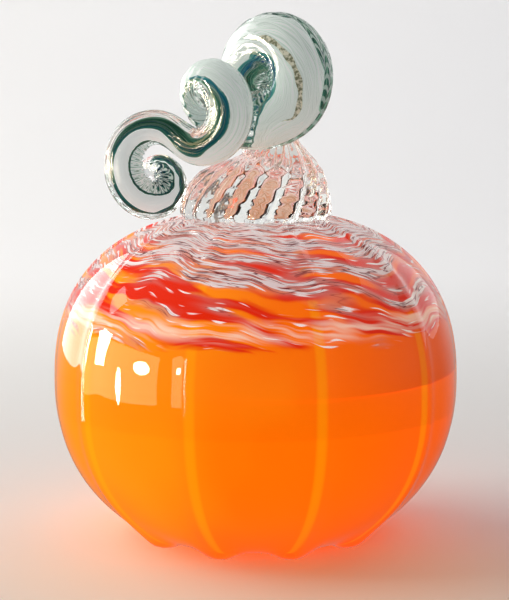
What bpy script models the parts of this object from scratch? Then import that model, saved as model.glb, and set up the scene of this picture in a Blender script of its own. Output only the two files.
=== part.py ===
"""Blown-glass pumpkin figure with a ribbed, pulled and curled stem.

Sizes are in millimetres in the part's own frame: +Z up, origin on the table under the middle of
the body, front towards -Y. Meshes are scaled to metres when they become objects.
"""

import math

import bmesh
import bpy
import numpy as np

METRES_PER_MM = 0.001
FIT_GAP = 0.35

# Body: a flattened ball with ten mould ribs
BODY_RADIUS = 75.0
BODY_MIDDLE = 57.0
BODY_RISE = 64.5
BODY_DROP = 64.0
UPPER_POWER = 2.4
LOWER_POWER = 2.2
RIB_COUNT = 10
RIB_HEIGHT = 0.9
FOOT_DROP = 3.4
KICK_EDGE_HEIGHT = 2.4
KICK_HEIGHT = 8.0
KICK_RADIUS = 38.0
NECK_RADIUS = 9.0

# Body layers, outside to inside
CASING_WALL = 3.4
STREAK_WALL = 0.9
BUBBLE_WALL = 2.4
LAYER_RINGS = 14
STREAK_RINGS = 6

# Stem skirt
SKIRT_RIBS = 18
SKIRT_RADIUS = 27.0
SKIRT_RIB_DEPTH = 0.9

# Pulled rod: middle line and radius, from the skirt to the tip (x, y, z, radius)
ROD_ROUTE = (
    # rising behind the first turn
    (6.0, 13.0, 143.3, 10.6), (2.2, 16.8, 153.7, 10.5), (-2.1, 15.6, 164.2, 10.8),
    (-2.0, 11.3, 174.7, 11.2),
    # over the top and down the front of the first turn
    (2.4, 4.8, 181.4, 11.6), (9.3, -2.5, 182.5, 11.9), (14.7, -8.2, 177.5, 12.0),
    (16.1, -11.1, 169.2, 12.0), (13.0, -11.2, 161.5, 11.8), (6.8, -9.5, 156.8, 11.3),
    # under the first turn and up behind the second
    (-1.3, -6.1, 155.2, 10.8), (-9.4, -4.4, 156.3, 10.3), (-15.7, -6.3, 160.3, 9.9),
    (-18.1, -11.3, 165.6, 9.5),
    # over the top and down the front of the second turn
    (-16.0, -18.1, 168.7, 9.2), (-11.9, -24.4, 166.7, 8.9), (-9.4, -27.6, 160.8, 8.6),
    (-10.5, -27.8, 153.4, 8.2), (-14.7, -25.9, 148.3, 7.6),
    # the S between the coil and the curl
    (-19.8, -23.3, 146.6, 6.9), (-24.5, -20.7, 147.9, 6.3), (-28.3, -19.0, 150.4, 6.0),
    (-32.6, -17.7, 152.7, 6.1),
    # the end curl, wound the other way, with its tip tucked in behind
    (-38.7, -16.9, 152.9, 6.5), (-44.5, -16.7, 149.3, 6.8), (-47.4, -17.1, 143.2, 7.0),
    (-47.2, -17.7, 136.0, 7.2), (-43.9, -17.6, 129.9, 7.3), (-38.6, -16.1, 126.9, 7.2),
    (-33.8, -13.3, 127.8, 6.8), (-31.2, -9.6, 131.8, 6.1), (-32.5, -5.1, 136.3, 5.3),
    (-36.1, -0.8, 137.9, 4.6), (-39.7, 2.4, 137.0, 3.9),
)
ROD_FLUTES = 10
ROD_FLUTE_DEPTH = 0.07
ROD_STATIONS = 64
ROD_INNER_END = ROD_STATIONS - 5
ROD_TWIST = math.radians(2.0)
CORE_SHARE = 0.54
BAND_INNER_SHARE = 0.60
BAND_OUTER_SHARE = 0.71
BORE_SHARE = 0.80
WHITE_ARC = (math.radians(-95), math.radians(95))
GREEN_ARC = (math.radians(125), math.radians(235))


def clear_scene():
    for old in list(bpy.data.objects):
        bpy.data.objects.remove(old, do_unlink=True)


def make_material(name, colour, roughness=0.04, transmission=0.0):
    material = bpy.data.materials.new(name)
    material.use_nodes = True
    shader = material.node_tree.nodes["Principled BSDF"]
    shader.inputs["Base Color"].default_value = (*colour, 1.0)
    shader.inputs["Roughness"].default_value = roughness
    shader.inputs["Metallic"].default_value = 0.0
    shader.inputs["Transmission Weight"].default_value = transmission
    material.diffuse_color = (*colour, 1.0)
    return material


def finish_object(name, mesh_data, material):
    """Close seams and poles, turn faces outwards, scale to metres and link the object."""
    bmesh.ops.remove_doubles(mesh_data, verts=mesh_data.verts, dist=0.0005)
    bmesh.ops.recalc_face_normals(mesh_data, faces=mesh_data.faces)
    bmesh.ops.scale(mesh_data, vec=(METRES_PER_MM,) * 3, verts=mesh_data.verts)
    mesh = bpy.data.meshes.new(name)
    mesh_data.to_mesh(mesh)
    mesh_data.free()
    mesh.materials.append(material)
    mesh.shade_smooth()
    mesh.set_sharp_from_angle(angle=math.radians(40))
    piece = bpy.data.objects.new(name, mesh)
    bpy.context.scene.collection.objects.link(piece)
    return piece


def add_sheet(mesh_data, around, along, place):
    """Add a grid of around x along cells and put each point where place(column, row) says."""
    grid = bmesh.ops.create_grid(mesh_data, x_segments=around, y_segments=along, size=0.5)
    for vert in grid["verts"]:
        column = round((vert.co.x + 0.5) * around)
        row = round((vert.co.y + 0.5) * along)
        vert.co = place(column, row)


def bridge_open_edges(mesh_data):
    bmesh.ops.remove_doubles(mesh_data, verts=mesh_data.verts, dist=0.0005)
    rim = [edge for edge in mesh_data.edges if edge.is_boundary]
    bmesh.ops.bridge_loops(mesh_data, edges=rim)


# ---------------------------------------------------------------- body

def signed_power(value, power):
    return math.copysign(abs(value) ** power, value)


def smooth_max(first, second, softness):
    high = max(first, second)
    low = min(first, second)
    return high + softness * math.log1p(math.exp((low - high) / softness))


def body_profile(angle, inset=0.0):
    """Radius and height on the body's meridian, from +90 degrees at the top to -90 below."""
    power = UPPER_POWER if angle >= 0.0 else LOWER_POWER
    reach = (BODY_RISE if angle >= 0.0 else BODY_DROP) - inset
    radius = (BODY_RADIUS - inset) * max(math.cos(angle), 0.0) ** (2.0 / power)
    height = BODY_MIDDLE + reach * signed_power(math.sin(angle), 2.0 / power)
    if angle < 0.0:
        kick = KICK_EDGE_HEIGHT + inset
        kick += (KICK_HEIGHT - KICK_EDGE_HEIGHT) * (1.0 - (radius / KICK_RADIUS) ** 2)
        height = smooth_max(height, kick, 1.2)
    return radius, height


def top_angle(radius, inset):
    """Meridian angle where the upper half has the given radius."""
    return math.acos((radius / (BODY_RADIUS - inset)) ** (UPPER_POWER / 2.0))


def spread_angles(start, end, count):
    return [start + (end - start) * step / count for step in range(count + 1)]


def rib_lift(azimuth, foot_share):
    """How far a mould rib stands out: a narrow bead on the side, a broad lobe at the foot."""
    pitch = 2.0 * math.pi / RIB_COUNT
    offset = (azimuth % pitch) - 0.5 * pitch
    bead = math.exp(-(offset / math.radians(3.0)) ** 2)
    lobe = 0.5 + 0.5 * math.cos(2.0 * math.pi * offset / pitch)
    return (1.0 - foot_share) * RIB_HEIGHT * bead + foot_share * FOOT_DROP * lobe ** 1.5


# Around one rib pitch, points crowd towards the bead in its middle
RIB_STEPS = tuple(math.radians(step) for step in (-18, -10, -5, -2.5, 0, 2.5, 5, 10))


def casing_azimuths():
    pitch = 2.0 * math.pi / RIB_COUNT
    return [pitch * (rib + 0.5) + step for rib in range(RIB_COUNT) for step in RIB_STEPS]


def casing_point(azimuth, angle):
    """Outer skin of the casing: the meridian pushed out along its normal by the ribs."""
    radius, height = body_profile(angle)
    ahead = body_profile(angle - 0.01)
    behind = body_profile(angle + 0.01)
    run = (ahead[0] - behind[0], ahead[1] - behind[1])
    length = math.hypot(*run)
    normal = (-run[1] / length, run[0] / length)
    foot_share = math.exp(-((radius - 41.0) / 9.0) ** 2) if height < 15.0 else 0.0
    fade = min(1.0, radius / 30.0) if height < 60.0 else 1.0
    lift = rib_lift(azimuth, foot_share) * fade
    radius += normal[0] * lift
    height = max(0.0, height + normal[1] * lift)
    return radius * math.sin(azimuth), -radius * math.cos(azimuth), height


def shell_point(azimuth, angle, inset):
    radius, height = body_profile(angle, inset)
    return radius * math.sin(azimuth), -radius * math.cos(azimuth), height


def ring_azimuths(count):
    return [2.0 * math.pi * step / count for step in range(count)]


def add_shell_skin(mesh_data, azimuths, angles, point):
    def place(column, row):
        return point(azimuths[column % len(azimuths)], angles[row])
    add_sheet(mesh_data, len(azimuths), len(angles) - 1, place)


def layer_angles():
    """The layers under the ribs share their rings, so their facets stay parallel."""
    return spread_angles(top_angle(NECK_RADIUS, 0.0), math.radians(-90), LAYER_RINGS)


def add_layer_skin(mesh_data, inset, angles):
    add_shell_skin(mesh_data, ring_azimuths(40), angles,
                   lambda azimuth, angle: shell_point(azimuth, angle, inset))


def build_clear_casing(material):
    mesh_data = bmesh.new()
    side = spread_angles(top_angle(NECK_RADIUS, 0.0), math.radians(-48), 14)
    foot = spread_angles(math.radians(-52), math.radians(-70), 6)
    under = spread_angles(math.radians(-76), math.radians(-90), 2)
    add_shell_skin(mesh_data, casing_azimuths(), side + foot + under, casing_point)
    add_layer_skin(mesh_data, CASING_WALL, layer_angles())
    bridge_open_edges(mesh_data)
    return finish_object("clear_casing", mesh_data, material)


def build_open_shell(name, outer_inset, wall, angles, material):
    """A thin shell that follows the body, open at the neck and, if it stops early, below."""
    mesh_data = bmesh.new()
    for inset in (outer_inset, outer_inset + wall):
        add_layer_skin(mesh_data, inset, angles)
    bmesh.ops.remove_doubles(mesh_data, verts=mesh_data.verts, dist=0.0005)
    rim = [edge for edge in mesh_data.edges if edge.is_boundary]
    neck_height = BODY_MIDDLE + 0.75 * BODY_RISE
    for at_neck in (True, False):
        loops = [edge for edge in rim if (edge.verts[0].co.z > neck_height) == at_neck]
        if loops:
            bmesh.ops.bridge_loops(mesh_data, edges=loops)
    return finish_object(name, mesh_data, material)


# ---------------------------------------------------------------- stem

def skirt_outline():
    """Height share and radius of the bell, from the body's shoulder up to the rod."""
    return ((0.0, 27.0), (0.12, 26.9), (0.3, 25.8), (0.5, 23.4), (0.68, 20.2), (0.82, 16.4),
            (0.93, 12.4), (1.0, 10.5))


def body_top_height(radius):
    """Height of the casing's smooth top at a radius."""
    return body_profile(top_angle(radius, 0.0))[1] + RIB_HEIGHT


def smooth_route(route, count):
    """Natural cubic spline through the route, read at evenly spaced lengths."""
    knots = np.array(route)
    steps = np.linalg.norm(np.diff(knots[:, :3], axis=0), axis=1)
    length = np.concatenate(([0.0], np.cumsum(steps)))
    last = len(knots) - 1
    system = np.eye(last + 1)
    pull = np.zeros_like(knots)
    for i in range(1, last):
        before = steps[i - 1]
        after = steps[i]
        system[i, i - 1:i + 2] = before, 2.0 * (before + after), after
        pull[i] = 6.0 * ((knots[i + 1] - knots[i]) / after - (knots[i] - knots[i - 1]) / before)
    bend = np.linalg.solve(system, pull)

    def read(places):
        low = np.clip(np.searchsorted(length, places, side="right") - 1, 0, last - 1)
        span = steps[low][:, None]
        left = (length[low + 1] - places)[:, None]
        right = (places - length[low])[:, None]
        curved = (bend[low] * left ** 3 + bend[low + 1] * right ** 3) / (6.0 * span)
        straight = (knots[low] / span - bend[low] * span / 6.0) * left
        straight += (knots[low + 1] / span - bend[low + 1] * span / 6.0) * right
        return curved + straight

    fine = np.linspace(0.0, length[-1], 2000)
    points = read(fine)
    travelled = np.linalg.norm(np.diff(points[:, :3], axis=0), axis=1)
    travelled = np.concatenate(([0.0], np.cumsum(travelled)))
    even = np.interp(np.linspace(0.0, travelled[-1], count), travelled, fine)
    return read(even), travelled[-1]


def carry_frames(points):
    """Two directions across the route at each point, carried along without twist."""
    tangents = np.gradient(points, axis=0)
    tangents /= np.linalg.norm(tangents, axis=1)[:, None]
    side = np.cross(tangents[0], (0.0, 1.0, 0.0))
    frames = []
    for tangent in tangents:
        side = side - tangent * side.dot(tangent)
        side = side / np.linalg.norm(side)
        frames.append((side, np.cross(tangent, side), tangent))
    return frames


class Rod:
    """The pulled rod's stations: middle line, radius and crosswise frame at each."""

    def __init__(self, route, count):
        rows, self.length = smooth_route(route, count)
        self.points = rows[:, :3]
        self.radii = rows[:, 3]
        self.frames = carry_frames(self.points)
        self.step = self.length / (count - 1)

    def place(self, station, azimuth, share, forward=0.0):
        side, up, tangent = self.frames[station]
        turn = azimuth + ROD_TWIST * self.step * station
        reach = share * self.radii[station]
        across = side * math.cos(turn) + up * math.sin(turn)
        return tuple(self.points[station] + reach * across + forward * tangent)


def build_stem_foot(rod, material):
    """A ribbed bell whose flat top leans to meet the rod's first face."""
    mesh_data = bmesh.new()
    outline = skirt_outline()
    base_rings = (0.0, 0.45, 0.8)
    around = SKIRT_RIBS * 4
    rows = len(base_rings) + len(outline) + 1
    tangent = rod.frames[0][2]
    top = rod.points[0] - FIT_GAP * tangent

    def place(column, row):
        azimuth = 2.0 * math.pi * (column % around) / around
        ripple = 1.0 + SKIRT_RIB_DEPTH / SKIRT_RADIUS * math.cos(SKIRT_RIBS * azimuth)
        if row < len(base_rings):
            share, radius = 0.0, base_rings[row] * SKIRT_RADIUS
            ripple = 1.0
        elif row < rows - 1:
            share, radius = outline[row - len(base_rings)]
        else:
            share, radius = 1.0, 0.0
        floor = body_top_height(max(radius, NECK_RADIUS) if share == 0.0 else SKIRT_RADIUS)
        lean = share ** 2.2
        aside = radius * ripple * math.sin(azimuth)
        away = -radius * ripple * math.cos(azimuth)
        tilt = -share ** 12.0 * (tangent[0] * aside + tangent[1] * away) / tangent[2]
        height = floor + FIT_GAP + share * (top[2] - floor - FIT_GAP) + tilt
        return lean * top[0] + aside, lean * top[1] + away, height

    add_sheet(mesh_data, around, rows - 1, place)
    return finish_object("stem_foot", mesh_data, material)


def flute_share(azimuth):
    return 1.0 - ROD_FLUTE_DEPTH * (0.5 - 0.5 * math.cos(ROD_FLUTES * azimuth))


def build_stem_casing(rod, material):
    """The ribbed sleeve: from the rounded tip down its outside, then up the bore to a blind end."""
    mesh_data = bmesh.new()
    around = ROD_FLUTES * 2
    last = ROD_STATIONS - 1
    bore_first = last + 2
    bore_last = bore_first + ROD_INNER_END + 1

    def place(column, row):
        azimuth = 2.0 * math.pi * (column % around) / around
        if row == 0:
            return rod.place(last, 0.0, 0.0, forward=1.6)
        if row < bore_first:
            return rod.place(last + 1 - row, azimuth, flute_share(azimuth))
        if row <= bore_last:
            return rod.place(row - bore_first, azimuth, BORE_SHARE)
        return rod.place(bore_last - bore_first, 0.0, 0.0)

    add_sheet(mesh_data, around, bore_last + 1, place)
    return finish_object("stem_casing", mesh_data, material)


def cap_open_edges(mesh_data):
    bmesh.ops.remove_doubles(mesh_data, verts=mesh_data.verts, dist=0.0005)
    rim = [edge for edge in mesh_data.edges if edge.is_boundary]
    bmesh.ops.holes_fill(mesh_data, edges=rim, sides=0)


def build_stem_core(rod, material):
    mesh_data = bmesh.new()
    around = 8

    def place(column, row):
        return rod.place(1 + row, 2.0 * math.pi * (column % around) / around, CORE_SHARE)

    add_sheet(mesh_data, around, ROD_INNER_END - 1, place)
    cap_open_edges(mesh_data)
    return finish_object("stem_core", mesh_data, material)


def build_stem_band(name, rod, arc, facets, material):
    """A strip wrapped part of the way round the core, from the skirt to near the tip."""
    mesh_data = bmesh.new()
    outside = [(angle, BAND_OUTER_SHARE) for angle in spread_angles(*arc, facets)]
    inside = [(angle, BAND_INNER_SHARE) for angle in spread_angles(arc[1], arc[0], facets)]
    section = outside + inside
    around = len(section)

    def place(column, row):
        azimuth, share = section[column % around]
        return rod.place(1 + row, azimuth, share)

    add_sheet(mesh_data, around, ROD_INNER_END - 1, place)
    cap_open_edges(mesh_data)
    return finish_object(name, mesh_data, material)


def main():
    clear_scene()
    clear_glass = make_material("clear_glass", (0.86, 0.92, 0.90), 0.02, 0.9)
    orange_glass = make_material("orange_glass", (0.98, 0.17, 0.01), 0.06)
    streak_glass = make_material("streak_glass", (0.75, 0.30, 0.24), 0.08)
    white_glass = make_material("white_glass", (0.62, 0.66, 0.62), 0.10)
    green_glass = make_material("green_glass", (0.03, 0.19, 0.17), 0.08)

    build_clear_casing(clear_glass)
    streak_inset = CASING_WALL + FIT_GAP
    crown_angles = layer_angles()[:STREAK_RINGS + 1]
    build_open_shell("streak_layer", streak_inset, STREAK_WALL, crown_angles, streak_glass)
    bubble_inset = streak_inset + STREAK_WALL + FIT_GAP
    build_open_shell("orange_bubble", bubble_inset, BUBBLE_WALL, layer_angles(), orange_glass)

    rod = Rod(ROD_ROUTE, ROD_STATIONS)
    build_stem_foot(rod, clear_glass)
    build_stem_casing(rod, clear_glass)
    build_stem_core(rod, clear_glass)
    build_stem_band("stem_white_band", rod, WHITE_ARC, 6, white_glass)
    build_stem_band("stem_green_band", rod, GREEN_ARC, 4, green_glass)


main()
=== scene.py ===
"""Looks of the blown-glass pumpkin figure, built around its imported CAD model.

Sizes are in millimetres until finish_mesh scales a piece to metres. The body and the rod follow
the same rules as the CAD solids, with finer steps.
"""

import math

import bmesh
import bpy
import numpy as np
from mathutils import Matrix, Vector


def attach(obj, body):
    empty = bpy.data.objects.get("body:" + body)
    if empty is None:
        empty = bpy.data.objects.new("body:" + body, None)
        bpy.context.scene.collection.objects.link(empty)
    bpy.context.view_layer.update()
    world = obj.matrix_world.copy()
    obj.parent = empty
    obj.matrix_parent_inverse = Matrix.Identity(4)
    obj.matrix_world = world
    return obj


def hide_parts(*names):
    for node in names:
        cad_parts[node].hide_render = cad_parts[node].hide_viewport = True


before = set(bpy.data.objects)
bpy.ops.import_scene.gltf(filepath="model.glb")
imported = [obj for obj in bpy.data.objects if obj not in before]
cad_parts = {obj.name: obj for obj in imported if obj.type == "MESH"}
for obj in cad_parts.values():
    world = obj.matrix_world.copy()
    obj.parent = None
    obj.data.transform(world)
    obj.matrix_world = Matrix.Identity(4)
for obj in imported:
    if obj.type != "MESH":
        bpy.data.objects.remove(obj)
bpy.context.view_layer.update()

METRES_PER_MM = 0.001

# Body
BODY_RADIUS = 75.0
BODY_MIDDLE = 57.0
BODY_RISE = 64.5
BODY_DROP = 64.0
UPPER_POWER = 2.4
LOWER_POWER = 2.2
RIB_COUNT = 10
RIB_PITCH = 2.0 * math.pi / RIB_COUNT
RIB_HEIGHT = 0.9
RIB_HALF_WIDTH = math.radians(3.0)
FOOT_RING_RADIUS = 41.0
FOOT_RING_WIDTH = 9.0
FOOT_TOP = 15.0
RIB_FADE_RADIUS = 30.0
FOOT_DROP = 3.4
KICK_EDGE_HEIGHT = 2.4
KICK_HEIGHT = 8.0
KICK_RADIUS = 38.0
KICK_SOFTNESS = 1.2
# The casing stops under the skirt, where the stem is fused on; the colour closes over the top
CASING_NECK_RADIUS = 25.6
CORE_NECK_RADIUS = 1.5
BODY_STEPS_AROUND = 360
CASING_STEPS_DOWN = 120
BACK_STEPS_AROUND = 100
BACK_STEPS_DOWN = 40
CORE_STEPS_AROUND = 120
FOOT_ANGLE = math.radians(-90)

# Fused layers: each skin lies inside the glass of the one outside it
CROWN_INSET = 2.6
BUBBLE_INSET = 2.9
CASING_BACK_INSET = 3.4
BUBBLE_WALL = 2.4
CROWN_WALL = 0.8
CROWN_LOW_ANGLE = math.radians(4.0)
# Strength of the painted glow in the orange and the crown
ORANGE_GLOW = 0.64

# Stem
SKIRT_RIBS = 18
SKIRT_RADIUS = 27.0
# Share of the way up the skirt, and its radius there
SKIRT_OUTLINE = ((0.0, 27.2), (0.03, 28.2), (0.12, 28.3), (0.3, 27.8), (0.5, 26.2),
                 (0.68, 23.4), (0.82, 19.2), (0.93, 14.4), (1.0, 10.6))
SKIRT_ROWS = 44
SKIRT_RIB_DEPTH = 2.8
RIB_SLANT = math.radians(20)
STEM_SINK = 3.6
ROD_ROUTE = (
    (6.0, 13.0, 143.3, 10.6), (2.2, 16.8, 153.7, 10.5), (-2.1, 15.6, 164.2, 10.8),
    (-2.0, 11.3, 174.7, 11.2),
    (2.4, 4.8, 181.4, 11.6), (9.3, -2.5, 182.5, 11.9), (14.7, -8.2, 177.5, 12.0),
    (16.1, -11.1, 169.2, 12.0), (13.0, -11.2, 161.5, 11.8), (6.8, -9.5, 156.8, 11.3),
    (-1.3, -6.1, 155.2, 10.8), (-9.4, -4.4, 156.3, 10.3), (-15.7, -6.3, 160.3, 9.9),
    (-18.1, -11.3, 165.6, 9.5),
    (-16.0, -18.1, 168.7, 9.2), (-11.9, -24.4, 166.7, 8.9), (-9.4, -27.6, 160.8, 8.6),
    (-10.5, -27.8, 153.4, 8.2), (-14.7, -25.9, 148.3, 7.6),
    (-19.8, -23.3, 146.6, 6.9), (-24.5, -20.7, 147.9, 6.3), (-28.3, -19.0, 150.4, 6.0),
    (-32.6, -17.7, 152.7, 6.1),
    (-38.7, -16.9, 152.9, 6.5), (-44.5, -16.7, 149.3, 6.8), (-47.4, -17.1, 143.2, 7.0),
    (-47.2, -17.7, 136.0, 7.2), (-43.9, -17.6, 129.9, 7.3), (-38.6, -16.1, 126.9, 7.2),
    (-33.8, -13.3, 127.8, 6.8), (-31.2, -9.6, 131.8, 6.1), (-32.5, -5.1, 136.3, 5.3),
    (-36.1, -0.8, 137.9, 4.6), (-39.7, 2.4, 137.0, 3.9),
)
ROD_STATIONS = 640
ROD_STEPS_AROUND = 126
FIRST_ROD_STATION = 8
TIP_ROWS = 8
ROD_RIB_DEPTH = 0.035
ROD_TWIST = math.radians(0.5)
# Ripples across the rod where the hot glass was folded: deepest inside each bend
FOLD_PITCH = 3.0
FOLD_DEPTH = 0.09
FOLDED_TURN = (10.8, 15.0)
FOLDED_CURL = 23.5
RAY_PITCH = 3.0

# Colour laid in the rod, at points along ROD_ROUTE: point number, then degrees round the rod
# where the white starts, the white ends and the green ends. Zero faces the front on the front
# passes; plus is to the left, or to the outside of the end curl.
BAND_PLAN = (
    (0.0, -60, 50, 80), (3.0, -60, 38, 84), (5.0, -55, 44, 92), (7.0, -53, 58, 98),
    (8.0, -75, 54, 84), (9.0, -78, 20, 32), (10.0, -80, -24, -16), (13.0, -110, -15, -9),
    (14.5, -120, -8, 10), (15.5, -130, -6, 30), (16.3, -130, -6, 46), (17.0, -130, -6, 42),
    (18.0, -120, -2, 40), (19.0, -110, -42, 38), (20.5, -100, -45, 42), (22.0, -80, -12, 46),
    (23.0, -48, 0, 48), (25.0, -22, 33, 56), (26.0, -20, 36, 56), (28.0, -25, 39, 50),
    (29.5, 12, 36, 66), (31.0, 24, 30, 80), (33.0, 24, 30, 80),
)
BAND_FACETS = 8
BAND_FIRST = 3
BAND_LAST = ROD_STATIONS - 12
# Kinds of strip: drawn out lengthwise, rayed across the rod, or full of specks
PLAIN, RAYED, GLITTERED = 0.0, 1.0, 2.0
# More colour on the far side of the rod: rays inside the big turn and round the curl's eye
INNER_RAYS_PLAN = ((0.5, 180, 180), (1.5, 115, 235), (9.0, 115, 235), (10.0, 180, 180))
FAR_WHITE_PLAN = ((22.5, -150, -150), (24.5, -185, -110), (29.0, -185, -105), (30.0, -150, -150))
FAR_GREEN_PLAN = ((28.0, -130, -130), (29.5, -190, -85), (33.0, -190, -70))
# Points along ROD_ROUTE where the coil passes in front
FRONT_PASSES = (6.0, 7.0, 8.0, 16.3)
# A clear seam splits the white on the front of the big turn
SEAM_PLAN = (
    (4.2, 14, 0.0), (4.8, 15, 5.0), (6.0, 19, 7.0), (7.0, 7, 7.0), (8.0, -20, 6.0),
    (8.4, -28, 0.0),
)


# ---------------------------------------------------------------- general helpers

def srgb(hex_colour, alpha=1.0):
    """A linear colour from an sRGB hex value."""
    channels = [int(hex_colour[i:i + 2], 16) / 255.0 for i in (0, 2, 4)]
    linear = [c / 12.92 if c <= 0.04045 else ((c + 0.055) / 1.055) ** 2.4 for c in channels]
    return (*linear, alpha)


# Settings of a Map Range node that eases in and out
SMOOTH = {"interpolation_type": "SMOOTHSTEP"}


def add_node(tree, kind, settings=None, **sockets):
    """Add a node. Settings go on the node; a socket takes a constant or another node's output."""
    node = tree.nodes.new(kind)
    for name, value in (settings or {}).items():
        setattr(node, name, value)
    for name, value in sockets.items():
        key = int(name[1:]) if name[1:].isdigit() else name.replace("_", " ")
        socket = node.inputs[key]
        if isinstance(value, bpy.types.NodeSocket):
            tree.links.new(value, socket)
        else:
            socket.default_value = value
    return node


def new_material(name):
    material = bpy.data.materials.new(name)
    material.use_nodes = True
    material.node_tree.nodes.clear()
    return material, material.node_tree


def finish_mesh(name, mesh_data, material, sharp_angle=60.0):
    """Weld seams, point faces outwards, scale to metres and link the piece."""
    bmesh.ops.remove_doubles(mesh_data, verts=mesh_data.verts, dist=0.0005)
    bmesh.ops.recalc_face_normals(mesh_data, faces=mesh_data.faces)
    bmesh.ops.scale(mesh_data, vec=(METRES_PER_MM,) * 3, verts=mesh_data.verts)
    mesh = bpy.data.meshes.new(name)
    mesh_data.to_mesh(mesh)
    mesh_data.free()
    mesh.materials.append(material)
    mesh.shade_smooth()
    mesh.set_sharp_from_angle(angle=math.radians(sharp_angle))
    piece = bpy.data.objects.new(name, mesh)
    bpy.context.scene.collection.objects.link(piece)
    return piece


# ---------------------------------------------------------------- body shapes

def signed_power(value, power):
    return math.copysign(abs(value) ** power, value)


def smooth_max(first, second, softness):
    high = max(first, second)
    low = min(first, second)
    return high + softness * math.log1p(math.exp((low - high) / softness))


def body_profile(angle, inset=0.0):
    """Radius and height on the body's meridian, from +90 degrees at the top to -90 below."""
    power = UPPER_POWER if angle >= 0.0 else LOWER_POWER
    reach = (BODY_RISE if angle >= 0.0 else BODY_DROP) - inset
    radius = (BODY_RADIUS - inset) * max(math.cos(angle), 0.0) ** (2.0 / power)
    height = BODY_MIDDLE + reach * signed_power(math.sin(angle), 2.0 / power)
    if angle < 0.0:
        kick = KICK_EDGE_HEIGHT + inset
        kick += (KICK_HEIGHT - KICK_EDGE_HEIGHT) * (1.0 - (radius / KICK_RADIUS) ** 2)
        height = smooth_max(height, kick, KICK_SOFTNESS)
    return radius, height


def top_angle(radius, inset):
    return math.acos((radius / (BODY_RADIUS - inset)) ** (UPPER_POWER / 2.0))


def rib_lift(azimuth, foot_share):
    """How far a mould rib stands out: a narrow bead on the side, a broad lobe at the foot."""
    offset = (azimuth % RIB_PITCH) - 0.5 * RIB_PITCH
    bead = math.exp(-(offset / RIB_HALF_WIDTH) ** 2)
    lobe = 0.5 + 0.5 * math.cos(2.0 * math.pi * offset / RIB_PITCH)
    return (1.0 - foot_share) * RIB_HEIGHT * bead + foot_share * FOOT_DROP * lobe ** 1.5


def meridian_chain(mesh_data, inset, start, end, count):
    """A chain of edges down the meridian, ready to spin; returns its vertices and edges."""
    verts = []
    for step in range(count + 1):
        radius, height = body_profile(start + (end - start) * step / count, inset)
        verts.append(mesh_data.verts.new((0.0, -radius, height)))
    edges = [mesh_data.edges.new(pair) for pair in zip(verts, verts[1:])]
    return verts, edges


def spin_round(mesh_data, geometry, steps):
    bmesh.ops.spin(mesh_data, geom=geometry, cent=(0, 0, 0), axis=(0, 0, 1), dvec=(0, 0, 0),
                   angle=2.0 * math.pi, steps=steps, use_merge=True, use_duplicate=False)
    bmesh.ops.remove_doubles(mesh_data, verts=mesh_data.verts, dist=0.0005)


def push_ribs_out(verts):
    """Move the casing's outer skin out along the meridian's normal by the mould ribs."""
    for vert in verts:
        radius = math.hypot(vert.co.x, vert.co.y)
        if radius < 1.0:
            continue
        azimuth = math.atan2(vert.co.x, -vert.co.y)
        height = vert.co.z
        foot_share = 0.0
        if height < FOOT_TOP:
            foot_share = math.exp(-((radius - FOOT_RING_RADIUS) / FOOT_RING_WIDTH) ** 2)
        fade = min(1.0, radius / RIB_FADE_RADIUS) if height < BODY_MIDDLE else 1.0
        lift = rib_lift(azimuth, foot_share) * fade
        vert.co += vert.normal * lift
        vert.co.z = max(0.0, vert.co.z)


def build_casing(material):
    """Clear gather: ribbed outer skin, neck rim and a back wall fused into the bubble."""
    mesh_data = bmesh.new()
    start = top_angle(CASING_NECK_RADIUS, 0.0)
    outer, edges = meridian_chain(mesh_data, 0.0, start, FOOT_ANGLE, CASING_STEPS_DOWN)
    spin_round(mesh_data, outer + edges, BODY_STEPS_AROUND)
    bmesh.ops.recalc_face_normals(mesh_data, faces=mesh_data.faces)
    mesh_data.normal_update()
    middle = Vector((0, 0, BODY_MIDDLE))
    if sum(face.normal.dot(face.calc_center_median() - middle)
           for face in mesh_data.faces) < 0.0:
        bmesh.ops.reverse_faces(mesh_data, faces=mesh_data.faces)
        mesh_data.normal_update()
    push_ribs_out(list(mesh_data.verts))
    back, edges = meridian_chain(mesh_data, CASING_BACK_INSET, start, FOOT_ANGLE,
                                 BACK_STEPS_DOWN)
    spin_round(mesh_data, back + edges, BACK_STEPS_AROUND)
    rim = [edge for edge in mesh_data.edges if edge.is_boundary]
    bmesh.ops.bridge_loops(mesh_data, edges=rim)
    return finish_mesh("clear_casing_glass", mesh_data, material)


def build_bubble(material):
    """Orange bubble: an outer and an inner skin, joined at the top."""
    mesh_data = bmesh.new()
    start = top_angle(CORE_NECK_RADIUS, 0.0)
    for inset, steps in ((BUBBLE_INSET, 70), (BUBBLE_INSET + BUBBLE_WALL, 30)):
        verts, edges = meridian_chain(mesh_data, inset, start, FOOT_ANGLE, steps)
        spin_round(mesh_data, verts + edges, CORE_STEPS_AROUND)
    rim = [edge for edge in mesh_data.edges if edge.is_boundary]
    bmesh.ops.bridge_loops(mesh_data, edges=rim)
    return finish_mesh("orange_bubble_glass", mesh_data, material)


def build_crown(material):
    """Layer of feathered frit over the bubble's upper half."""
    mesh_data = bmesh.new()
    start = top_angle(CORE_NECK_RADIUS, 0.0)
    for inset in (CROWN_INSET, CROWN_INSET + CROWN_WALL):
        verts, edges = meridian_chain(mesh_data, inset, start, CROWN_LOW_ANGLE, 50)
        spin_round(mesh_data, verts + edges, CORE_STEPS_AROUND)
    middle = BODY_MIDDLE + 0.75 * BODY_RISE
    rim = [edge for edge in mesh_data.edges if edge.is_boundary]
    for at_neck in (True, False):
        loops = [edge for edge in rim if (edge.verts[0].co.z > middle) == at_neck]
        bmesh.ops.bridge_loops(mesh_data, edges=loops)
    return finish_mesh("streak_crown_glass", mesh_data, material)


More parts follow.
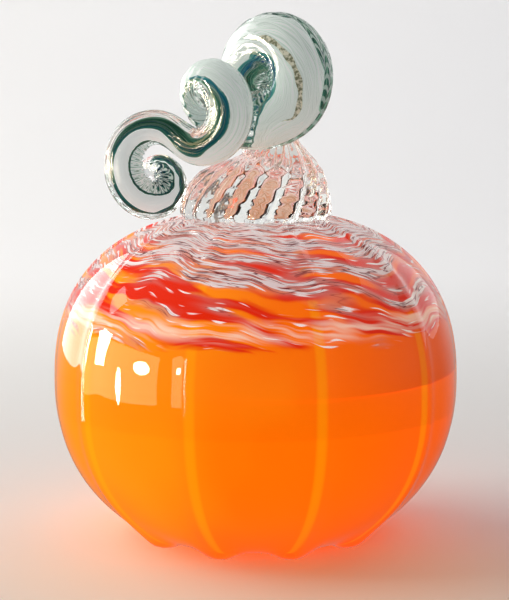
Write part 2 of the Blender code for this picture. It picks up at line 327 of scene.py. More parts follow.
# ---------------------------------------------------------------- stem shapes

def smooth_route(route, count):
    """Natural cubic spline through the route, read at evenly spaced lengths."""
    knots = np.array(route)
    steps = np.linalg.norm(np.diff(knots[:, :3], axis=0), axis=1)
    length = np.concatenate(([0.0], np.cumsum(steps)))
    last = len(knots) - 1
    system = np.eye(last + 1)
    pull = np.zeros_like(knots)
    for i in range(1, last):
        before = steps[i - 1]
        after = steps[i]
        system[i, i - 1:i + 2] = before, 2.0 * (before + after), after
        pull[i] = 6.0 * ((knots[i + 1] - knots[i]) / after - (knots[i] - knots[i - 1]) / before)
    bend = np.linalg.solve(system, pull)

    def read(places):
        low = np.clip(np.searchsorted(length, places, side="right") - 1, 0, last - 1)
        span = steps[low][:, None]
        left = (length[low + 1] - places)[:, None]
        right = (places - length[low])[:, None]
        curved = (bend[low] * left ** 3 + bend[low + 1] * right ** 3) / (6.0 * span)
        straight = (knots[low] / span - bend[low] * span / 6.0) * left
        straight += (knots[low + 1] / span - bend[low + 1] * span / 6.0) * right
        return curved + straight

    fine = np.linspace(0.0, length[-1], 3000)
    points = read(fine)
    travelled = np.linalg.norm(np.diff(points[:, :3], axis=0), axis=1)
    travelled = np.concatenate(([0.0], np.cumsum(travelled)))
    even = np.interp(np.linspace(0.0, travelled[-1], count), travelled, fine)
    numbers = np.interp(even, length, np.arange(last + 1))
    return read(even), travelled[-1], numbers


def carry_frames(points):
    """Tangents, and two directions across the route carried along without twist."""
    tangents = np.gradient(points, axis=0)
    tangents /= np.linalg.norm(tangents, axis=1)[:, None]
    side = np.cross(tangents[0], (0.0, 1.0, 0.0))
    sides = []
    for tangent in tangents:
        side = side - tangent * side.dot(tangent)
        side = side / np.linalg.norm(side)
        sides.append(side)
    sides = np.array(sides)
    return tangents, sides, np.cross(tangents, sides)


def ease(values, width):
    """A running average along the rod, with the ends held."""
    kernel = np.hanning(width)
    kernel /= kernel.sum()
    padded = np.pad(values, (width // 2, width // 2), mode="edge")
    return np.convolve(padded, kernel, mode="valid")


def smooth_step(values, low, high):
    share = np.clip((values - low) / (high - low), 0.0, 1.0)
    return share * share * (3.0 - 2.0 * share)


class Rod:
    """The pulled rod: middle line, radius, crosswise frame and bend at each station."""

    def __init__(self, route, count):
        rows, self.length, self.numbers = smooth_route(route, count)
        self.points = rows[:, :3]
        self.radii = rows[:, 3]
        self.tangents, self.sides, self.ups = carry_frames(self.points)
        self.count = count
        self.travel = np.linspace(0.0, self.length, count)
        bend = np.gradient(self.tangents, self.travel, axis=0)
        self.outward = self.angles_towards(-bend)
        self.tightness = ease(np.linalg.norm(bend, axis=1) * self.radii, 31)
        self.fold = smooth_step(self.numbers, FOLDED_TURN[0], FOLDED_TURN[0] + 0.8)
        self.fold -= smooth_step(self.numbers, FOLDED_TURN[1] - 0.8, FOLDED_TURN[1])
        self.curl = smooth_step(self.numbers, FOLDED_CURL, FOLDED_CURL + 1.5)
        self.lead = self.band_lead()

    def angles_towards(self, directions):
        across = (directions * self.sides).sum(axis=1)
        up = (directions * self.ups).sum(axis=1)
        return np.unwrap(np.arctan2(up, across))

    def band_lead(self):
        """Where the bands count from: the viewer's side, carried round the coil in between."""
        front = self.angles_towards(np.tile((0.0, -1.0, 0.0), (self.count, 1)))
        ahead = (front - self.outward + math.pi) % (2.0 * math.pi) - math.pi
        marks = [int(np.argmin(np.abs(self.numbers - number))) for number in FRONT_PASSES]
        coil = self.outward + np.interp(self.numbers, FRONT_PASSES, ahead[marks])
        share = smooth_step(self.numbers, FRONT_PASSES[-1] - 0.3, FRONT_PASSES[-1] + 0.3)
        middle = marks[-1]
        front += 2.0 * math.pi * round((coil[middle] - front[middle]) / (2.0 * math.pi))
        return ease(coil * (1.0 - share) + front * share, 21)

    def place(self, station, turn, share, forward=0.0):
        across = self.sides[station] * math.cos(turn) + self.ups[station] * math.sin(turn)
        ahead = self.tangents[station] * forward
        return Vector(self.points[station] + self.radii[station] * (share * across + ahead))

    def relief(self, station, turn):
        """Share of the radius left by the lengthwise ribs and the folds across the rod."""
        rib = stem_rib(turn - ROD_TWIST * self.travel[station])
        inward = -math.cos(turn - self.outward[station])
        reach = inward * self.tightness[station] * 2.0 - 0.7
        in_curl = self.curl[station] * (inward * 2.2 + 0.7)
        folded = max(self.fold[station], min(1.0, max(0.0, reach, in_curl)))
        wave = math.cos(2.0 * math.pi * self.travel[station] / FOLD_PITCH + 1.5 * turn)
        fold = (0.5 + 0.5 * wave) ** 0.6
        return (1.0 - ROD_RIB_DEPTH * (1.0 - rib) * (1.0 - folded)
                - FOLD_DEPTH * (1.0 - fold) * folded)


def stem_rib(turn):
    """A rib's crosswise shape: a rounded crest and a sharper valley."""
    wave = 0.5 + 0.5 * math.cos(SKIRT_RIBS * turn)
    return wave ** 0.55


rod = Rod(ROD_ROUTE, ROD_STATIONS)


def add_sheet(mesh_data, around, along, place):
    """Add a grid of around x along cells and put each point where place(column, row) says."""
    grid = bmesh.ops.create_grid(mesh_data, x_segments=around, y_segments=along, size=0.5)
    for vert in grid["verts"]:
        column = round((vert.co.x + 0.5) * around)
        row = round((vert.co.y + 0.5) * along)
        vert.co = place(column % around, row)
    return grid["verts"]


def body_top_height(radius):
    return body_profile(top_angle(radius, 0.0))[1] + RIB_HEIGHT


def skirt_radius(share):
    shares = [pair[0] for pair in SKIRT_OUTLINE]
    radii = [pair[1] for pair in SKIRT_OUTLINE]
    return float(np.interp(share, shares, radii))




def build_stem_glass(material):
    """Skirt and rod are one gather, so their ribs run on from one to the other."""
    mesh_data = bmesh.new()
    floor = body_top_height(SKIRT_RADIUS) - 0.2
    top = rod.points[0]
    last_station = ROD_STATIONS - 1
    rod_rows = last_station - FIRST_ROD_STATION
    rows = 2 + SKIRT_ROWS + rod_rows + TIP_ROWS

    def place_on_skirt(turn, share):
        radius = skirt_radius(share)
        depth = SKIRT_RIB_DEPTH * min(1.0, (1.0 - share) * 1.6 + 0.25)
        radius -= depth * (1.0 - stem_rib(turn + RIB_SLANT * (1.0 - share)))
        lean = share ** 2.6
        tilt = share ** 10
        flat_side = rod.sides[0] * math.cos(turn) + rod.ups[0] * math.sin(turn)
        level = np.array((flat_side[0], flat_side[1], 0.0))
        level /= np.linalg.norm(level)
        across = level * (1.0 - tilt) + flat_side * tilt
        centre = np.array((lean * top[0], lean * top[1], floor + share * (top[2] - floor)))
        return Vector(centre + radius * across)

    def place(column, row):
        turn = 2.0 * math.pi * column / ROD_STEPS_AROUND
        if row < 2:
            sunk = place_on_skirt(turn, 0.0)
            return Vector((sunk.x * row, sunk.y * row, floor - STEM_SINK))
        if row <= SKIRT_ROWS + 1:
            return place_on_skirt(turn, (row - 2) / SKIRT_ROWS)
        station = row - 2 - SKIRT_ROWS + FIRST_ROD_STATION
        if station <= last_station:
            return rod.place(station, turn, rod.relief(station, turn))
        rounding = 0.5 * math.pi * (station - last_station) / TIP_ROWS
        share = rod.relief(last_station, turn) * math.cos(rounding)
        return rod.place(last_station, turn, max(0.0, share), 0.7 * math.sin(rounding))

    add_sheet(mesh_data, ROD_STEPS_AROUND, rows, place)
    return finish_mesh("stem_clear_glass", mesh_data, material)


def read_plan(plan, column):
    """One column of a plan, eased along the rod, in radians."""
    points = [row[0] for row in plan]
    degrees = [row[column] for row in plan]
    return ease(np.radians(np.interp(rod.numbers, points, degrees)), 25)




def add_strip(mesh_data, layer, start, end, shares, kind=PLAIN):
    """A thin closed strip in the rod between two angles given at every station."""
    around = 2 * (BAND_FACETS + 1)
    rows = BAND_LAST - BAND_FIRST + 2

    def place(column, row):
        station = min(max(BAND_FIRST + row - 1, BAND_FIRST), BAND_LAST)
        outside = column <= BAND_FACETS
        step = column if outside else around - 1 - column
        across = step / BAND_FACETS
        share = shares[0] if outside else shares[1]
        if row in (0, rows):
            share = 0.5 * (shares[0] + shares[1])
            across = 0.5
        first = rod.lead[station] + start[station]
        width = end[station] - start[station]
        return rod.place(station, first + across * width, share)

    verts = add_sheet(mesh_data, around, rows, place)
    for index, vert in enumerate(verts):
        column = index % (around + 1)
        step = column if column <= BAND_FACETS else around - 1 - column
        vert[layer] = (step / BAND_FACETS, (index // (around + 1)) / rows, kind)


def build_bands(white_material, green_material):
    """White in two strips with the seam between; green beside the white and behind it."""
    white_start, white_end, green_end = (read_plan(BAND_PLAN, column) for column in (1, 2, 3))
    seam = read_plan(SEAM_PLAN, 1)
    half = read_plan(SEAM_PLAN, 2)
    middle = 0.5 * (white_start + white_end)
    in_seam = smooth_step(np.degrees(half), 0.0, 3.0)
    seam = middle * (1.0 - in_seam) + seam * in_seam
    half = np.maximum(half, math.radians(0.2))
    edge = math.radians(1.5)
    sliver = math.radians(0.4)
    far_white = [read_plan(FAR_WHITE_PLAN, column) for column in (1, 2)]
    inner = [read_plan(INNER_RAYS_PLAN, column) for column in (1, 2)]
    far_green = [read_plan(FAR_GREEN_PLAN, column) for column in (1, 2)]
    backed = (white_end - white_start) * 0.5 * rod.fold
    glitter = half - math.radians(0.15)
    # A green line runs along the other side of the white, hair thin on the big turn
    line = np.radians(2.4 + 6.6 * smooth_step(rod.numbers, 9.0, 11.0))
    layouts = {
        "white": [(white_start, seam - half, (0.74, 0.71), PLAIN),
                  (seam + half, white_end, (0.74, 0.71), PLAIN),
                  (far_white[0], far_white[1] + sliver, (0.80, 0.77), RAYED)],
        "green": [(white_end + edge, green_end, (0.74, 0.71), PLAIN),
                  (far_green[0], far_green[1] + sliver, (0.76, 0.73), RAYED),
                  (inner[0], inner[1] + sliver, (0.78, 0.75), RAYED),
                  (white_start - line, white_start - edge, (0.74, 0.71), PLAIN),
                  (seam - glitter, seam + glitter, (0.72, 0.69), GLITTERED),
                  (white_start + backed, seam - half, (0.70, 0.675), PLAIN),
                  (seam + half, white_end - backed, (0.70, 0.675), PLAIN)],
    }
    made = []
    for name, material in (("white", white_material), ("green", green_material)):
        mesh_data = bmesh.new()
        layer = mesh_data.verts.layers.float_vector.new("along_rod")
        for start, end, shares, kind in layouts[name]:
            add_strip(mesh_data, layer, start, end, shares, kind)
        made.append(finish_mesh(name + "_band_glass", mesh_data, material, 40.0))
    return made


# ---------------------------------------------------------------- materials

def glass_over(tree, tint, shine):
    """Fire-polished soda glass: smooth and clear, and lamps shine through it on what it covers."""
    glass = add_node(tree, "ShaderNodeBsdfPrincipled", Base_Color=tint, Roughness=0.0,
                     IOR=1.5, Transmission_Weight=1.0, Specular_IOR_Level=shine)
    clear = add_node(tree, "ShaderNodeBsdfTransparent", Color=(0.95, 0.97, 0.96, 1.0))
    path = add_node(tree, "ShaderNodeLightPath")
    lamp = add_node(tree, "ShaderNodeMath", {"operation": "MAXIMUM"},
                    _0=path.outputs["Is Shadow Ray"], _1=path.outputs["Is Diffuse Ray"])
    mixed = add_node(tree, "ShaderNodeMixShader", Fac=lamp.outputs[0], _1=glass.outputs[0],
                     _2=clear.outputs[0])
    add_node(tree, "ShaderNodeOutputMaterial", Surface=mixed.outputs[0])


def casing_glass():
    """Soda-lime glass, blown in a ribbed mould and fire polished.

    Its mirror is set weaker than real glass has, so that the room doesn't veil the orange.
    """
    material, tree = new_material("clear_casing_soda_glass")
    glass_over(tree, srgb("FFFFFF"), 0.12)
    return material


def stem_glass():
    """Soda-lime glass, pulled and twisted hot: a little green, with strong highlights."""
    material, tree = new_material("clear_stem_soda_glass")
    glass_over(tree, srgb("F8FCFA"), 0.5)
    return material


def meridian_mm(tree):
    """Object position in mm, and the length along the meridian above the body's middle."""
    coords = add_node(tree, "ShaderNodeTexCoord")
    mm = add_node(tree, "ShaderNodeVectorMath", {"operation": "SCALE"},
                  _0=coords.outputs["Object"], Scale=1000.0)
    parts = add_node(tree, "ShaderNodeSeparateXYZ", _0=mm.outputs[0])
    flat = add_node(tree, "ShaderNodeCombineXYZ", X=parts.outputs["X"], Y=parts.outputs["Y"])
    radius = add_node(tree, "ShaderNodeVectorMath", {"operation": "LENGTH"}, _0=flat.outputs[0])
    raised = add_node(tree, "ShaderNodeMath", {"operation": "SUBTRACT"},
                      _0=parts.outputs["Z"], _1=BODY_MIDDLE)
    tilt = add_node(tree, "ShaderNodeMath", {"operation": "ARCTAN2"},
                    _0=raised.outputs[0], _1=radius.outputs["Value"])
    climb = add_node(tree, "ShaderNodeMath", {"operation": "MULTIPLY"},
                     _0=tilt.outputs[0], _1=72.0)
    back = add_node(tree, "ShaderNodeMath", {"operation": "MULTIPLY"},
                    _0=parts.outputs["Y"], _1=-1.0)
    azimuth = add_node(tree, "ShaderNodeMath", {"operation": "ARCTAN2"},
                       _0=parts.outputs["X"], _1=back.outputs[0])
    return mm.outputs[0], parts, climb.outputs[0], azimuth.outputs[0]


def orange_colour(tree, mm, parts, azimuth):
    """Bright orange with a random cloudy tone; painted light makes it yellower to the left, and a
    thin painted yellow caustic line lies under each rib.
    """
    # The cloud is random tone; the pull to yellow towards minus X is painted light, as if the left
    # side were lit more
    cloud = add_node(tree, "ShaderNodeTexNoise", Vector=mm, Scale=1.0 / 45.0, Detail=1.0)
    side = add_node(tree, "ShaderNodeMath", {"operation": "MULTIPLY_ADD"},
                    _0=parts.outputs["X"], _1=-1.0 / 75.0, _2=cloud.outputs["Fac"])
    lit_side_and_cloud = add_node(tree, "ShaderNodeMapRange", SMOOTH, Value=side.outputs[0],
                     From_Min=-0.5, From_Max=1.5)
    ramp = add_node(tree, "ShaderNodeValToRGB", Fac=lit_side_and_cloud.outputs[0])
    stops = ramp.color_ramp.elements
    stops[0].color = srgb("FF6200")
    stops[1].color = srgb("FF920C")
    stops.new(0.5).color = srgb("FF7000")
    # cosine of ten azimuths is 1 half way between ribs and -1 on each rib
    phase = add_node(tree, "ShaderNodeMath", {"operation": "MULTIPLY"}, _0=azimuth,
                     _1=float(RIB_COUNT))
    wave = add_node(tree, "ShaderNodeMath", {"operation": "COSINE"}, _0=phase.outputs[0])
    # Painted caustic: a thin yellow line standing in for the light each rib focuses like a lens
    line = add_node(tree, "ShaderNodeMapRange", SMOOTH,
                    Value=wave.outputs[0], From_Min=-0.95, From_Max=-0.999, To_Min=0.0,
                    To_Max=0.34)
    caustic_lined = add_node(tree, "ShaderNodeMix", {"data_type": "RGBA"}, Factor=line.outputs[0],
                     _6=ramp.outputs[0], _7=srgb("FFA808"))
    return caustic_lined.outputs[2]


def coloured_core(tree, colour, glow, light=None):
    """Dense colour inside clear glass: no gloss of its own, with a painted glow, an emission,
    standing in for light scattered in the glass.
    """
    core = add_node(tree, "ShaderNodeBsdfPrincipled", Base_Color=colour, Roughness=0.6,
                    Specular_IOR_Level=0.0, Emission_Color=light or colour,
                    Emission_Strength=glow)
    add_node(tree, "ShaderNodeOutputMaterial", Surface=core.outputs[0])


def bubble_glass():
    """Opal glass coloured orange, blown: even and bright. A glow stands in for scattered light."""
    material, tree = new_material("orange_opal_glass")
    mm, parts, climb, azimuth = meridian_mm(tree)
    coloured_core(tree, orange_colour(tree, mm, parts, azimuth), ORANGE_GLOW)
    return material


def streaks(tree, mm_parts, climb, length, thickness, detail, offset):
    """Streaks laid along the body: their length round it and thickness up it are in mm."""
    x = add_node(tree, "ShaderNodeMath", {"operation": "DIVIDE"}, _0=mm_parts.outputs["X"],
                 _1=length)
    y = add_node(tree, "ShaderNodeMath", {"operation": "DIVIDE"}, _0=mm_parts.outputs["Y"],
                 _1=length)
    z = add_node(tree, "ShaderNodeMath", {"operation": "MULTIPLY_ADD"}, _0=climb,
                 _1=1.0 / thickness, _2=offset)
    spot = add_node(tree, "ShaderNodeCombineXYZ", X=x.outputs[0], Y=y.outputs[0],
                    Z=z.outputs[0])
    noise = add_node(tree, "ShaderNodeTexNoise", Vector=spot.outputs[0], Scale=1.0,
                     Detail=detail, Roughness=0.6)
    return noise.outputs["Fac"]


def feather_flow(tree, mm, parts, climb, azimuth):
    """Height in the crown's pattern: it dips at each rib, wanders, ripples and winds down."""
    phase = add_node(tree, "ShaderNodeMath", {"operation": "MULTIPLY_ADD"}, _0=azimuth,
                     _1=float(RIB_COUNT), _2=0.5)
    wave = add_node(tree, "ShaderNodeMath", {"operation": "COSINE"}, _0=phase.outputs[0])
    flow = add_node(tree, "ShaderNodeMath", {"operation": "MULTIPLY_ADD"},
                    _0=wave.outputs[0], _1=-1.6, _2=climb)
    for size, lift in ((30.0, 13.0), (8.0, 2.6)):
        wander = add_node(tree, "ShaderNodeTexNoise", Vector=mm, Scale=1.0 / size, Detail=0.0)
        flow = add_node(tree, "ShaderNodeMath", {"operation": "MULTIPLY_ADD"},
                        _0=wander.outputs["Fac"], _1=lift, _2=flow.outputs[0])
    wound = add_node(tree, "ShaderNodeMath", {"operation": "MULTIPLY_ADD"},
                     _0=parts.outputs["X"], _1=0.22, _2=flow.outputs[0])
    return wound.outputs[0]


def white_drifts(tree, parts, climb, flow):
    """Where the white gathers, thickest at the neck, and the dashes that it breaks into."""
    patches = streaks(tree, parts, flow, 36.0, 5.6, 1.0, 27.7)
    hatch = streaks(tree, parts, flow, 9.5, 0.95, 0.5, 11.0)
    lift = add_node(tree, "ShaderNodeMapRange", Value=climb, From_Min=30.0, From_Max=80.0,
                    To_Min=-0.13, To_Max=0.23)
    drifts = add_node(tree, "ShaderNodeMath", {"operation": "ADD"}, _0=patches,
                      _1=lift.outputs[0])
    zone = add_node(tree, "ShaderNodeMapRange", SMOOTH, Value=drifts.outputs[0],
                    From_Min=0.42, From_Max=0.66)
    dashed = add_node(tree, "ShaderNodeMath", {"operation": "MULTIPLY_ADD"},
                      _0=zone.outputs[0], _1=0.25, _2=hatch)
    white = add_node(tree, "ShaderNodeMapRange", SMOOTH, Value=dashed.outputs[0],
                     From_Min=0.65, From_Max=0.76)
    return zone.outputs[0], white.outputs[0]


def red_and_white(tree, orange, parts, flow, zone, white):
    """Red streaks on the orange, dulled to pink in the drifts, with the white dashes on top."""
    reds = streaks(tree, parts, flow, 36.0, 5.2, 1.0, 83.0)
    red = add_node(tree, "ShaderNodeMapRange", SMOOTH, Value=reds, From_Min=0.42,
                   From_Max=0.54)
    ground = add_node(tree, "ShaderNodeMix", {"data_type": "RGBA"}, Factor=red.outputs[0],
                      _6=orange, _7=srgb("E02602"))
    pinkness = add_node(tree, "ShaderNodeMath", {"operation": "MULTIPLY"}, _0=zone, _1=0.8)
    pinked = add_node(tree, "ShaderNodeMix", {"data_type": "RGBA"},
                      Factor=pinkness.outputs[0], _6=ground.outputs[2], _7=srgb("D99A90"))
    whitened = add_node(tree, "ShaderNodeMix", {"data_type": "RGBA"}, Factor=white,
                        _6=pinked.outputs[2], _7=srgb("F8E6E4"))
    return whitened.outputs[2]


def maroon_threads(tree, colour, parts, flow, zone):
    """Thin maroon threads that lie along the whites."""
    threads = streaks(tree, parts, flow, 13.0, 1.35, 1.0, 37.0)
    near = add_node(tree, "ShaderNodeMath", {"operation": "SUBTRACT"}, _0=threads, _1=0.5)
    gap = add_node(tree, "ShaderNodeMath", {"operation": "ABSOLUTE"}, _0=near.outputs[0])
    thin = add_node(tree, "ShaderNodeMapRange", SMOOTH, Value=gap.outputs[0],
                    From_Min=0.045, From_Max=0.010)
    dark = add_node(tree, "ShaderNodeMath", {"operation": "MULTIPLY"}, _0=thin.outputs[0],
                    _1=zone)
    faint = add_node(tree, "ShaderNodeMath", {"operation": "MULTIPLY"}, _0=dark.outputs[0],
                     _1=0.9)
    threaded = add_node(tree, "ShaderNodeMix", {"data_type": "RGBA"}, Factor=faint.outputs[0],
                        _6=colour, _7=srgb("74141C"))
    return threaded.outputs[2]


def pale_fringe(tree, colour, parts, climb, flow):
    """A soft pale fringe closes the crown."""
    rising = add_node(tree, "ShaderNodeMapRange", SMOOTH, Value=climb, From_Min=24.0,
                      From_Max=29.0)
    falling = add_node(tree, "ShaderNodeMapRange", SMOOTH, Value=climb, From_Min=35.0,
                       From_Max=30.0)
    fringe = add_node(tree, "ShaderNodeMath", {"operation": "MULTIPLY"},
                      _0=rising.outputs[0], _1=falling.outputs[0])
    soft = streaks(tree, parts, flow, 22.0, 1.6, 1.0, 71.0)
    wisps = add_node(tree, "ShaderNodeMapRange", SMOOTH, Value=soft, From_Min=0.35,
                     From_Max=0.65)
    haze = add_node(tree, "ShaderNodeMath", {"operation": "MULTIPLY"}, _0=fringe.outputs[0],
                    _1=wisps.outputs[0])
    softened = add_node(tree, "ShaderNodeMath", {"operation": "MULTIPLY"},
                        _0=haze.outputs[0], _1=0.8)
    fringed = add_node(tree, "ShaderNodeMix", {"data_type": "RGBA"},
                       Factor=softened.outputs[0], _6=colour, _7=srgb("FBD3BE"))
    return fringed.outputs[2]


def crown_glass():
    """White, red and maroon frit, melted in and pulled into feathers over the orange."""
    material, tree = new_material("feathered_frit_glass")
    mm, parts, climb, azimuth = meridian_mm(tree)
    orange = orange_colour(tree, mm, parts, azimuth)
    flow = feather_flow(tree, mm, parts, climb, azimuth)
    zone, white = white_drifts(tree, parts, climb, flow)
    colour = red_and_white(tree, orange, parts, flow, zone, white)
    colour = maroon_threads(tree, colour, parts, flow, zone)
    colour = pale_fringe(tree, colour, parts, climb, flow)

    # The crown's lower edge frays out into the plain orange
    ragged = streaks(tree, parts, flow, 18.0, 2.4, 1.0, 51.0)
    edge = add_node(tree, "ShaderNodeMath", {"operation": "MULTIPLY_ADD"}, _0=ragged, _1=9.0,
                    _2=climb)
    shown = add_node(tree, "ShaderNodeMapRange", SMOOTH, Value=edge.outputs[0],
                     From_Min=27.0, From_Max=30.0)
    frayed = add_node(tree, "ShaderNodeMix", {"data_type": "RGBA"}, Factor=shown.outputs[0],
                      _6=orange, _7=colour)
    # Under the stem it is mostly a dull peach
    under = add_node(tree, "ShaderNodeMapRange", SMOOTH, Value=climb, From_Min=84.0,
                     From_Max=92.0)
    tinted = add_node(tree, "ShaderNodeMath", {"operation": "MULTIPLY"},
                      _0=under.outputs[0], _1=0.65)
    based = add_node(tree, "ShaderNodeMix", {"data_type": "RGBA"}, Factor=tinted.outputs[0],
                     _6=frayed.outputs[2], _7=srgb("CB9468"))

    # The painted glow is weaker in the white drifts, and painted shade makes the crown's colour
    # and glow duller towards the right, where less light falls.
    # That is a tone chosen for this piece, not a known thickness of its glass
    dense = add_node(tree, "ShaderNodeMath", {"operation": "MULTIPLY"}, _0=shown.outputs[0],
                     _1=zone)
    light = add_node(tree, "ShaderNodeMix", {"data_type": "RGBA", "blend_type": "MULTIPLY"},
                     Factor=dense.outputs[0], _6=based.outputs[2], _7=(0.62, 0.54, 0.56, 1.0))
    right = add_node(tree, "ShaderNodeMapRange", SMOOTH, Value=parts.outputs["X"],
                     From_Min=15.0, From_Max=75.0)
    dulled = add_node(tree, "ShaderNodeMix", {"data_type": "RGBA", "blend_type": "MULTIPLY"},
                      Factor=right.outputs[0], _6=light.outputs[2],
                      _7=(0.62, 0.55, 0.45, 1.0))
    right_shaded_base = add_node(tree, "ShaderNodeMix", {"data_type": "RGBA", "blend_type": "MULTIPLY"},
                     Factor=right.outputs[0], _6=based.outputs[2],
                     _7=(0.88, 0.78, 0.68, 1.0))
    coloured_core(tree, right_shaded_base.outputs[2], ORANGE_GLOW, dulled.outputs[2])
    return material


def band_stripes(tree, count, offset):
    """Fine stripes along the rod, and rays across it where the colour was folded."""
    where = add_node(tree, "ShaderNodeAttribute",
                     {"attribute_type": "GEOMETRY", "attribute_name": "along_rod"})
    parts = add_node(tree, "ShaderNodeSeparateXYZ", _0=where.outputs["Vector"])
    x = add_node(tree, "ShaderNodeMath", {"operation": "MULTIPLY_ADD"},
                 _0=parts.outputs["X"], _1=count, _2=offset)
    y = add_node(tree, "ShaderNodeMath", {"operation": "MULTIPLY"}, _0=parts.outputs["Y"],
                 _1=6.0)
    spot = add_node(tree, "ShaderNodeCombineXYZ", X=x.outputs[0], Y=y.outputs[0])
    noise = add_node(tree, "ShaderNodeTexNoise", Vector=spot.outputs[0], Scale=1.0,
                     Detail=2.0)
    slant = add_node(tree, "ShaderNodeMath", {"operation": "MULTIPLY"},
                     _0=parts.outputs["X"], _1=2.5)
    turns = 2.0 * math.pi * rod.length / RAY_PITCH
    phase = add_node(tree, "ShaderNodeMath", {"operation": "MULTIPLY_ADD"},
                     _0=parts.outputs["Y"], _1=turns, _2=slant.outputs[0])
    wave = add_node(tree, "ShaderNodeMath", {"operation": "SINE"}, _0=phase.outputs[0])
    rays = add_node(tree, "ShaderNodeMapRange", SMOOTH, Value=wave.outputs[0],
                    From_Min=-0.1, From_Max=0.7).outputs[0]
    rayed = add_node(tree, "ShaderNodeMapRange", SMOOTH, Value=parts.outputs["Z"],
                     From_Min=0.4, From_Max=0.6).outputs[0]
    shown = add_node(tree, "ShaderNodeMath", {"operation": "MULTIPLY"}, _0=rays, _1=rayed)
    glittered = add_node(tree, "ShaderNodeMapRange", SMOOTH, Value=parts.outputs["Z"],
                         From_Min=1.4, From_Max=1.6).outputs[0]
    return noise.outputs["Fac"], parts, shown.outputs[0], glittered


def white_band_glass():
    """White opal glass with silver, drawn out hot: pale grey stripes along the rod."""
    material, tree = new_material("silver_white_opal_glass")
    stripes, parts, rays, glittered = band_stripes(tree, 60.0, 0.0)
    paler = add_node(tree, "ShaderNodeMapRange", SMOOTH, Value=stripes, From_Min=0.3,
                     From_Max=0.7)
    striped = add_node(tree, "ShaderNodeMix", {"data_type": "RGBA"}, Factor=paler.outputs[0],
                       _6=srgb("C6D1CB"), _7=srgb("F4FAF7"))
    far = add_node(tree, "ShaderNodeMapRange", SMOOTH, Value=parts.outputs["Y"],
                   From_Min=0.60, From_Max=0.75).outputs[0]
    lighter = add_node(tree, "ShaderNodeMath", {"operation": "MULTIPLY"}, _0=far, _1=0.7)
    tone = add_node(tree, "ShaderNodeMix", {"data_type": "RGBA"}, Factor=lighter.outputs[0],
                    _6=striped.outputs[2], _7=srgb("FAFDFF"))
    rayed = add_node(tree, "ShaderNodeMix", {"data_type": "RGBA"}, Factor=rays,
                     _6=tone.outputs[2], _7=srgb("9DB0A7"))
    # A painted glow, an emission, brightens the white
    coloured_core(tree, rayed.outputs[2], 0.29)
    return material


def green_band_glass():
    """Silvered green glass, drawn out hot: teal beside the white, then blue, greens and dark."""
    material, tree = new_material("green_silvered_glass")
    stripes, parts, rays, glittered = band_stripes(tree, 26.0, 7.0)
    spread = add_node(tree, "ShaderNodeMath", {"operation": "MULTIPLY_ADD"}, _0=stripes,
                      _1=1.3, _2=-0.65)
    where = add_node(tree, "ShaderNodeMath", {"operation": "ADD"}, _0=parts.outputs["X"],
                     _1=spread.outputs[0])
    ramp = add_node(tree, "ShaderNodeValToRGB", Fac=where.outputs[0])
    stops = ramp.color_ramp.elements
    stops[0].position = 0.0
    stops[0].color = srgb("5FA39A")
    stops[1].position = 1.0
    stops[1].color = srgb("A9D2BC")
    for position, colour in ((0.18, "2E8C88"), (0.30, "12508C"), (0.42, "14503A"),
                             (0.50, "D3E3DA"), (0.56, "3E9468"), (0.68, "123238"),
                             (0.80, "5FA58C"), (0.88, "1B3F36")):
        stops.new(position).color = srgb(colour)
    deep = add_node(tree, "ShaderNodeMapRange", SMOOTH, Value=parts.outputs["Y"],
                    From_Min=0.52, From_Max=0.66).outputs[0]
    darker = add_node(tree, "ShaderNodeMix", {"data_type": "RGBA", "blend_type": "MULTIPLY"},
                      Factor=deep, _6=ramp.outputs[0], _7=srgb("A5B8AE"))
    rayed = add_node(tree, "ShaderNodeMix", {"data_type": "RGBA"}, Factor=rays,
                     _6=darker.outputs[2], _7=srgb("E4ECE6"))
    # The seam is full of fine seeds and specks
    coords = add_node(tree, "ShaderNodeTexCoord")
    seeds = add_node(tree, "ShaderNodeTexNoise", Vector=coords.outputs["Object"],
                     Scale=1000.0 / 1.1, Detail=2.0)
    bright = add_node(tree, "ShaderNodeMapRange", SMOOTH, Value=seeds.outputs["Fac"],
                      From_Min=0.38, From_Max=0.6)
    speck = add_node(tree, "ShaderNodeMix", {"data_type": "RGBA"}, Factor=bright.outputs[0],
                     _6=srgb("85866A"), _7=srgb("E8E2CE"))
    seamed = add_node(tree, "ShaderNodeMix", {"data_type": "RGBA"}, Factor=glittered,
                      _6=rayed.outputs[2], _7=speck.outputs[2])
    # A painted glow, an emission, brightens the green
    coloured_core(tree, seamed.outputs[2], 0.16)
    return material


# ---------------------------------------------------------------- pieces

casing = build_casing(casing_glass())
bubble = build_bubble(bubble_glass())
crown = build_crown(crown_glass())
stem = build_stem_glass(stem_glass())

white_band, green_band = build_bands(white_band_glass(), green_band_glass())

for piece, nodes, slot in (
    (casing, ("clear_casing",), "clear_glass"),
    (bubble, ("orange_bubble",), "orange_glass"),
    (crown, ("streak_layer",), "streak_glass"),
    (stem, ("stem_foot", "stem_casing", "stem_core"), "clear_glass"),
    (white_band, ("stem_white_band",), "white_glass"),
    (green_band, ("stem_green_band",), "green_glass"),
):
    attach(piece, "root")
    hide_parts(*nodes)


# ---------------------------------------------------------------- stage, light and camera

# Paper sweep and camera, in metres
SWEEP_HALF_WIDTH = 4.0
SWEEP_NEAR = -4.0
SWEEP_BEND_START = 0.75
SWEEP_BEND_RADIUS = 0.6
SWEEP_TOP = 1.8
CAMERA_PLACE = (-0.0004, -0.650, 0.182)
CAMERA_DIP = 8.24
CAMERA_LENS = 105.0


